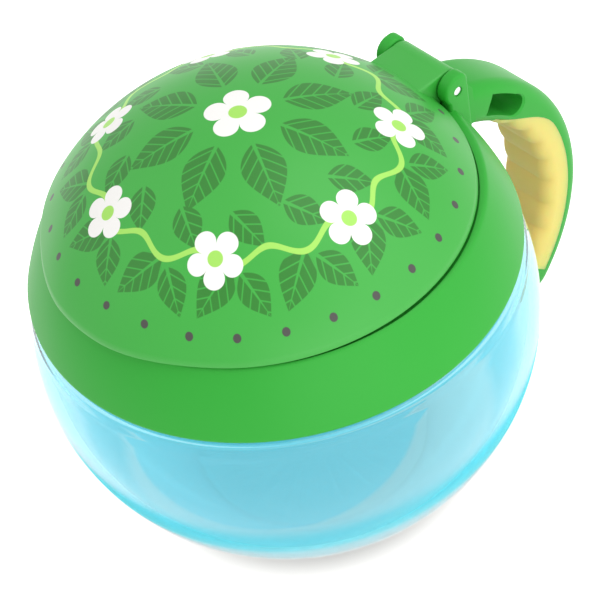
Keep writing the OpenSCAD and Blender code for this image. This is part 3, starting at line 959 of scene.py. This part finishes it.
def bar(name, steps=180):
    """The handle's whole bar, from its round tail to its root inside the post."""
    piece = primitive("plane", name, (handle_w, handle_t, 1), size=1,
                      location=(0, hub.y + handle_arc, hub.z))
    edit(piece)
    bpy.ops.mesh.select_mode(type="VERT")
    bpy.ops.mesh.bevel(offset=2.8 * mm, segments=8, affect="VERTICES")
    bpy.ops.mesh.select_all(action="SELECT")
    bpy.ops.mesh.spin(steps=steps, angle=-math.radians(root_sweep + tail_sweep), center=hub, axis=(1, 0, 0))
    pick(piece, "FACE", lambda face: all(abs(v.co.z - hub.z) < 0.001 * mm and v.co.y > hub.y
                                         for v in face.verts))
    rounds = 9
    low, thick, wide = 0.0, 1.0, 1.0
    for k in range(1, rounds + 1):
        lean = math.radians(90 * k / rounds)
        next_low = 1.04 * half_t * math.sin(lean)
        next_thick, next_wide = max(math.cos(lean), 0.1), 0.78 + 0.22 * math.cos(lean)
        extrude((0, 0, low - next_low))
        bpy.ops.transform.resize(value=(next_wide / wide, next_thick / thick, 1),
                                 center_override=(0, hub.y + handle_arc, hub.z - next_low))
        low, thick, wide = next_low, next_thick, next_wide
    bpy.ops.mesh.select_all(action="SELECT")
    bpy.ops.transform.rotate(value=math.radians(tail_sweep), orient_axis="X", center_override=hub)
    close_up()
    return piece


handle = bar("handle_shell")
print("bar vertices", len(handle.data.vertices), "tail at", [round(c / mm, 1) for c in on_arc(-tail_sweep)])

# %% The seam between shell and grip, and the strap slot
def ease(share):
    share = max(0.0, min(1.0, share))
    return share * share * (3 - 2 * share)


def seam(angle):
    """Distance of the seam from the centre line: near the middle of the side, far in above."""
    return 1.2 * mm + (mm - half_t - 1.2 * mm) * ease((angle - 22) / 30)


grip_top, grip_low = 54.0, -41.0
edge = [on_arc(a, seam(a)) for a in [grip_top - 3 * k for k in range(32)] if a > grip_low + 1]
edge.append(on_arc(grip_low, seam(grip_low)))
inside = [on_arc(a, -handle_t) for a in (grip_low, -30, -18, -6, 6, 18, 30, 42, grip_top)]


def grip_cutter():
    return slab("grip_cutter", edge[0], edge[1:] + inside + [edge[0]], -2 * half_w, 2 * half_w)


grip = bar("handle_grip_soft")
cut(grip, grip_cutter(), "INTERSECT")
cut(handle, grip_cutter())
slot_half, slot_low, slot_high = 2.25 * mm, 48.4, 61.5
slot_turns = [slot_low + (slot_high - slot_low) * k / 4 for k in range(5)]
slot_edge = [on_arc(turn, slot_half) for turn in slot_turns]
slot_back = [on_arc(turn, -slot_half) for turn in reversed(slot_turns)]
low_end = on_arc(slot_low)
cut(handle, slab("strap_slot", slot_edge[0], slot_edge[1:] + slot_back + [(*low_end, 180, 16)],
                 -2 * half_w, 2 * half_w))
for side in (-1, 1):
    cut(handle, primitive("uv_sphere", "dish", segments=64, ring_count=48, radius=5.5 * mm,
                          location=(side * (half_w + 4.75 * mm), *low_end)))
print("grip", len(grip.data.polygons), "faces; shell", len(handle.data.polygons), "faces")

# %% Ripples for the fingers
def ripple_share(angle):
    """0 in a groove, 1 on the crown of a ripple."""
    pitch = math.degrees(6.6 * mm / handle_arc)
    at = (angle - (grip_top - 5)) / pitch
    away = abs(at - round(at)) * 2
    return 1 - away ** 2


flank = 2.2 * mm                 # nearer the centre line than this the grip stays smooth
settle = grip.vertex_groups.new(name="inside")
crowns = grip.vertex_groups.new(name="ripples")
for vertex in grip.data.vertices:
    arm = Vector((vertex.co.y - hub.y, vertex.co.z - hub.z))
    angle, away = math.degrees(math.atan2(arm.y, arm.x)), arm.length - handle_arc
    share = (ease((-away - flank) / (half_t - flank)) * ease((grip_top - angle) / 3)
             * ease((angle - grip_low) / 3))
    settle.add([vertex.index], share, "REPLACE")
    crowns.add([vertex.index], share * ripple_share(angle), "REPLACE")
for group, strength in ((settle, -0.3 * mm), (crowns, 0.6 * mm)):
    push = grip.modifiers.new(group.name, "DISPLACE")
    push.vertex_group = group.name
    push.strength = strength
    push.mid_level = 0
apply_all(grip)
grip.vertex_groups.clear()
finish_piece(handle, "collar", leaf_green, ["handle"], smooth=30)
finish_piece(grip, "collar", soft_yellow, ["handle_grip"], smooth=30)

# %% [markdown]
# ## The soft insert
#
# A flat ring of soft rubber lies on the neck and is held by the collar. Its opening is a hexagon,
# and a short skirt below centres it. Six flat petals close the opening. A petal is one skin that
# crosses the joint with the ring.

# %% Ring
flange_t = 1.3 * mm
flange_z = neck_top
fold_r = mouth_r - 5.5 * mm
hole_flat = fold_r + 0.8 * mm
skirt_r = neck_r - wall - 0.3 * mm
skirt_in_r, skirt_low, flange_top = skirt_r - mm, flange_z - 1.6 * mm, flange_z + flange_t
ring_piece = draw("insert_ring_soft", (0, flange_top), [
    (flange_r, flange_top), (flange_r, flange_z), (skirt_r, flange_z), (skirt_r, skirt_low),
    (skirt_in_r, skirt_low), (skirt_in_r, flange_z), (0, flange_z)])
round_corners(ring_piece, *((across, up, 0.35 * mm, 3) for across, up in (
    (flange_r, flange_top), (flange_r, flange_z), (skirt_r, skirt_low), (skirt_in_r, skirt_low))))
spin_up(ring_piece, 144)
cut(ring_piece, primitive("cylinder", "hexagon", vertices=6, radius=hole_flat / math.cos(math.pi / 6),
                          depth=10 * mm, location=(0, 0, flange_z), rotation=(0, 0, math.pi / 6)))
finish_piece(ring_piece, "insert", petal_cream, ["insert_ring"])

# %% One petal, then its five copies
petal_t = mm
petal_z = flange_z + flange_t / 2
slit_half, tip_r, tip_half = 0.3 * mm, 2.9 * mm, 1.35 * mm
fold_half = fold_r * math.tan(math.pi / 6) - slit_half / math.cos(math.pi / 6) - 0.3 * mm


def petal_half(radius):
    """Half width of a petal at a distance from the axis."""
    share = (min(radius, fold_r) - tip_r) / (fold_r - tip_r)
    return tip_half + (fold_half - tip_half) * share


rows = [fold_r + d * mm for d in (1.4, 0.9, 0.6, 0.3, 0, -0.3, -0.6, -0.9, -1.5)]
rows += [fold_r - 1.5 * mm - (fold_r - 1.5 * mm - tip_r) * k / 8 for k in range(1, 9)]
petal = primitive("grid", "petal_1", (2 * petal_half(rows[0]), rows[0] - rows[1], 1), x_subdivisions=6,
                  y_subdivisions=1, size=1, location=(0, (rows[0] + rows[1]) / 2, petal_z))
edit(petal)
pick(petal, "EDGE", lambda line: all(abs(v.co.y - rows[1]) < 0.001 * mm for v in line.verts))
for outer, inner in zip(rows[1:], rows[2:]):
    extrude((0, inner - outer, 0))
    narrower = petal_half(inner) / petal_half(outer)
    bpy.ops.transform.resize(value=(narrower, 1, 1), center_override=(0, inner, petal_z))
close_up()
thick = petal.modifiers.new("thickness", "SOLIDIFY")
thick.thickness = petal_t
thick.offset = 0
apply_all(petal)
soften(petal, 0.22 * mm, 2, 50)
petals = [petal]
for number in range(2, 7):
    only(petal)
    bpy.ops.object.duplicate()
    copy = bpy.context.object
    copy.name = f"petal_{number}"
    copy.rotation_euler.z = math.radians(60 * (number - 1))
    bpy.ops.object.transform_apply(location=True, rotation=True, scale=True)
    petals.append(copy)
print("petals", len(petals), "fold at", round(fold_r / mm, 2), "mm from the axis")

# %% Petals smoothed and painted
for number, piece in enumerate(petals, 1):
    only(piece)
    bpy.ops.object.shade_smooth_by_angle(angle=math.radians(35))
    piece.data.materials.append(petal_cream)
    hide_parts(f"flap_{number}")
    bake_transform(piece)

# %% [markdown]
# ## The lid
#
# The lid is a dome with a low rim. In front the rim grows into a lip for the thumb, and behind, an
# arm carries the knuckle that turns on the pin. The outside is made first as one solid, so that
# dome, lip and arm melt together. Then the hollow is taken out, and last the pin's hole and two
# shallow hollows that pass the ears when the lid opens.

# %% Dome, rim and lip
rim_turn = math.degrees(math.acos(rim_r / dome_r)) - 90
rim_edge_z = dome_z + math.sqrt(dome_r ** 2 - rim_r ** 2)
lid = draw("lid_dome", (0, lid_top), [
    (0, dome_z, rim_turn, 64), (rim_r, lid_z), (0, lid_z)], offset=-lid_shift)
round_corners(lid, (rim_r, rim_edge_z, 0.7 * mm), (rim_r, lid_z, 0.35 * mm, 3), offset=-lid_shift)
spin_up(lid, 192, (0, -lid_shift, 0))
edit(lid)
front = -lid_shift - rim_r
pick(lid, "VERT", lambda point: point.co.z < rim_edge_z + 0.6 * mm and point.co.y < front + 0.9 * mm
     and abs(point.co.x) < 6 * mm)
bpy.ops.transform.translate(value=(0, lip_y - front, 0), use_proportional_edit=True,
                            proportional_edit_falloff="SMOOTH", proportional_size=20 * mm)
bpy.ops.object.mode_set(mode="OBJECT")
print("lip drawn", round((front - lip_y) / mm, 2), "mm forward")

# %% Arm and knuckle
knuckle_half = 6.5 * mm
arm_top = pin.z + knuckle_r - 0.1 * mm
arm_y = pin.y - 8 * mm
meet = math.degrees(math.acos(math.sqrt(1 - ((arm_top - pin.z) / knuckle_r) ** 2)))
arm = slab("arm", (arm_y, lid_z + 1.8 * mm), [
    (arm_y, arm_top), (pin.y - knuckle_r * math.cos(math.radians(meet)), arm_top),
    (pin.y, pin.z, -(300 - meet), 48), (pin.y - 2.6 * mm, lid_z + 0.05 * mm), (arm_y, lid_z + 1.8 * mm)],
    -knuckle_half, knuckle_half)
bevel_edges(arm, lambda at, way: abs(abs(at.x) - knuckle_half) < 0.01 * mm and abs(way.x) < 0.5
            and at.z > lid_z + 0.3 * mm, 0.45 * mm, 4)
cut(lid, arm, "UNION")
print("arm", round(2 * knuckle_half / mm, 1), "mm wide")

# %% Hollow, pin hole and passing hollows
inner_r = dome_r - lid_wall
skirt_in = bead_out + 0.9 * mm
step_z = lid_z + 1.8 * mm
step_r = math.sqrt(inner_r ** 2 - (step_z - dome_z) ** 2)
hollow = draw("hollow", (0, dome_z + inner_r), [
    (0, dome_z, math.degrees(math.acos(step_r / inner_r)) - 90, 48), (skirt_in, step_z),
    (skirt_in, lid_z - mm), (0, lid_z - mm)], offset=-lid_shift)
round_corners(hollow, (skirt_in, step_z, 0.4 * mm, 3), offset=-lid_shift)
spin_up(hollow, 192, (0, -lid_shift, 0))
cut(lid, hollow)
cut(lid, rod("pin_bore", pin_r + 0.04 * mm, -2 * ear_out, 2 * ear_out))
pass_r = math.hypot(head_y - pin.y, head_z - pin.z) + ear_r + slack / 2
for side in (-1, 1):
    low_x, high_x = sorted((side * knuckle_half, side * (ear_out + 0.2 * mm)))
    cut(lid, rod("passing", pass_r, low_x, high_x))
finish_piece(lid, "lid", leafy, ["lid"], smooth=30)

# %% [markdown]
# ## The hinge pin
#
# A plain steel pin is pressed through the ears. Its ends are slightly rounded, as a cut wire is.

# %% Pin
pin_more = 0.1 * mm              # how far each end stands out more
pin_piece = rod("steel_pin_rod", pin_r, pin_low.x - pin_more, pin_high.x + pin_more, around=48)
bevel_edges(pin_piece, lambda at, way: abs(way.x) < 0.2 and abs(at.x) > pin_high.x, 0.25 * mm, 3)
finish_piece(pin_piece, "collar", steel, ["hinge_pin"])
